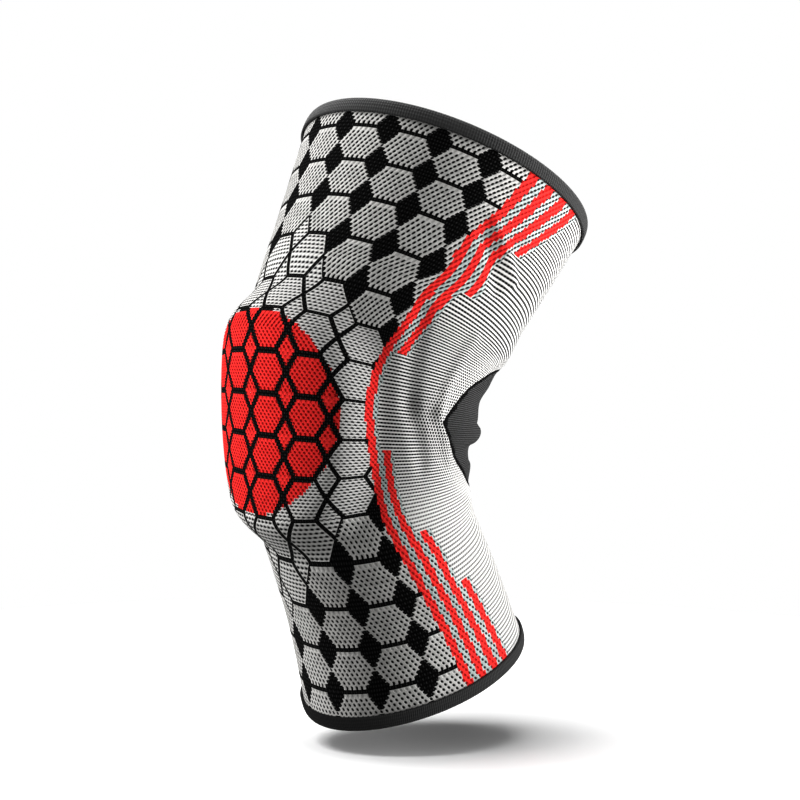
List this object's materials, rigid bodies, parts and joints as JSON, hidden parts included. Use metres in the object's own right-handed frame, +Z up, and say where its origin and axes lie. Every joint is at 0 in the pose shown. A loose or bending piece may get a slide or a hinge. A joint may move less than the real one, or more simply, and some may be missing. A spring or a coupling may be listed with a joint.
{
  "type": "knit knee support",
  "caption": "Knitted knee sleeve shaped for a bent knee, with a raised kneecap pad, a mesh panel behind the knee and a tape-bound edge at the thigh and the shin.",
  "frame": {"origin": "the middle of the knee, on the centre line of the leg that wears the sleeve", "axes": "+Z up, -Y the way the kneecap faces, +X to the side; the knee bends in the plane X = 0, and the thigh and the shin both lean towards +Y"},
  "size_m": [0.1594, 0.1853, 0.315],
  "materials": {
    "knit": "matt jacquard knit in light grey, black and red",
    "mesh": "matt black ribbed mesh",
    "pad": "soft dark silicone, satin",
    "tape": "matt charcoal woven tape"
  },
  "bodies": {
    "root": {"knit_sleeve": "knit", "back_mesh": "mesh", "patella_pad": "pad", "top_binding": "tape", "bottom_binding": "tape"}
  },
  "joints": []
}
